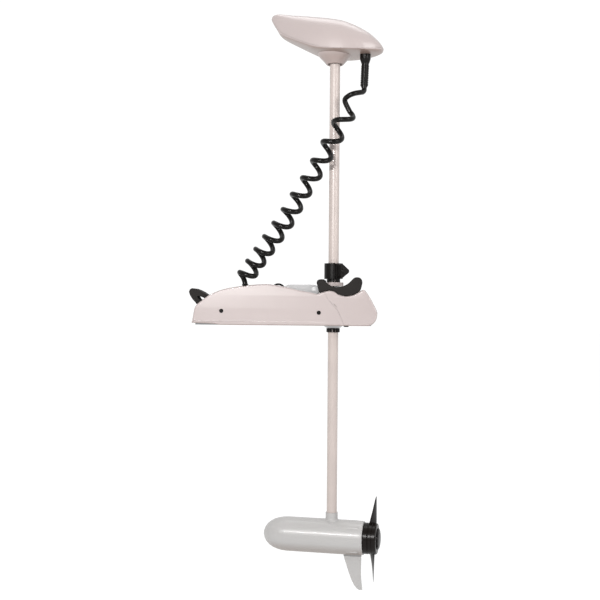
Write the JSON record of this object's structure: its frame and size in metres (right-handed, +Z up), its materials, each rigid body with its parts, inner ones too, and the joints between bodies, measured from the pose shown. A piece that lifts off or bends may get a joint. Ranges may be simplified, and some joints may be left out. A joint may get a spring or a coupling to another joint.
{
  "type": "trolling motor",
  "caption": "Bow-mount electric trolling motor: stowing deck mount, powered steering, long shaft, control head with coiled cord, submersible motor and propeller.",
  "frame": {"origin": "centre of the deck bolt pattern, on the deck face of the mount", "axes": "+X outboard towards the bow overhang, +Z up along the shaft, -Y is the side with the coil cord"},
  "size_m": [0.5065, 0.1392, 1.5097],
  "materials": {
    "white_shell": "gloss",
    "white_shaft": "satin",
    "cool_cast": "satin",
    "cool_paint": "gloss",
    "channel": "satin",
    "steel": "satin",
    "black_plastic": "satin",
    "prop_plastic": "gloss",
    "cord_black": "gloss",
    "pad_rubber": "matte",
    "board_green": "satin",
    "copper": "satin",
    "ferrite": "matte"
  },
  "bodies": {
    "base": {"base_channel": "channel", "near_side_cover": "white_shell", "far_side_cover": "white_shell", "near_front_cover": "white_shell", "far_front_cover": "white_shell", "near_cradle_pad": "pad_rubber", "far_cradle_pad": "pad_rubber", "cover_screws": "black_plastic", "pedal_pin": "steel", "latch_pin": "steel", "cord_grommet": "cord_black", "front_feet": "cord_black", "coil_section_1": "cord_black", "steering_lead": "cord_black"},
    "pedal": {"release_pedal": "pad_rubber"},
    "latch": {"lock_latch": "steel"},
    "carriage": {"carriage": "cool_cast", "slide_pads": "black_plastic", "pivot_pin": "steel", "coil_section_2": "cord_black"},
    "gearbox": {"gearbox_housing": "cool_cast", "gearbox_lid": "cool_cast", "steering_motor": "black_plastic", "lid_screws": "steel", "coil_section_3": "cord_black"},
    "pinion": {"pinion": "steel"},
    "hub": {"steering_hub": "white_shell", "output_gear": "steel", "slotted_ring": "black_plastic", "depth_collar": "black_plastic"},
    "knob": {"collar_knob": "black_plastic"},
    "shaft": {"shaft_tube": "white_shaft", "head_top_cover": "white_shell", "head_bottom_cover": "white_shell", "control_board": "board_green", "head_screws": "steel", "cord_strain_relief": "cord_black", "motor_leads": "cord_black", "motor_body": "cool_paint", "nose_cone": "cool_paint", "end_bell": "cool_paint", "field_magnets": "ferrite", "front_bearing": "steel", "rear_bearing": "steel", "shaft_seal": "cord_black", "through_bolts": "steel", "brush_plate": "copper", "coil_section_4": "cord_black"},
    "propeller": {"propeller": "prop_plastic", "prop_nut": "black_plastic", "drive_pin": "steel", "armature": "copper"}
  },
  "joints": [
    {"name": "stow_tilt", "type": "hinge", "parent": "carriage", "child": "gearbox", "pos_m": [0.15, 0, 0.095], "axis": [0, -1, 0], "range_deg": [0, 90], "deforming": ["coil_section_3"]},
    {"name": "carriage_slide", "type": "slide", "parent": "base", "child": "carriage", "axis": [-1, 0, 0], "range_m": [0, 0.172], "deforming": ["coil_section_1", "coil_section_2"]},
    {"name": "steer", "type": "hinge", "parent": "gearbox", "child": "hub", "pos_m": [0.2, 0, 0.05], "axis": [0, 0, 1], "range_deg": [-180, 180]},
    {"name": "pinion_turn", "type": "hinge", "parent": "gearbox", "child": "pinion", "pos_m": [0.1685, 0, 0.08], "axis": [0, 0, 1], "range_deg": [-360, 360]},
    {"name": "depth", "type": "slide", "parent": "hub", "child": "shaft", "axis": [0, 0, -1], "range_m": [-0.411, 0.3], "deforming": ["coil_section_4"]},
    {"name": "collar_knob_turn", "type": "hinge", "parent": "hub", "child": "knob", "pos_m": [0.2, 0, 0.142], "axis": [0.766, -0.6428, 0], "continuous": true},
    {"name": "propeller_spin", "type": "hinge", "parent": "shaft", "child": "propeller", "pos_m": [0.2, 0, -0.552], "axis": [0.9877, -0.1564, 0], "continuous": true},
    {"name": "release_pedal_press", "type": "hinge", "parent": "base", "child": "pedal", "pos_m": [-0.128, 0, 0.04], "axis": [0, -1, 0], "range_deg": [0, 22], "stiffness_Nm_per_rad": 1.2, "springref_deg": -11.46},
    {"name": "latch_turn", "type": "hinge", "parent": "base", "child": "latch", "pos_m": [-0.132, 0, 0.022], "axis": [0, -1, 0], "range_deg": [0, 18]}
  ],
  "couplings": [
    {"joint": "carriage_slide", "follows": "stow_tilt", "m_per_rad": 0.1095},
    {"joint": "pinion_turn", "follows": "steer", "ratio": -2},
    {"joint": "latch_turn", "follows": "release_pedal_press", "ratio": 0.8}
  ]
}
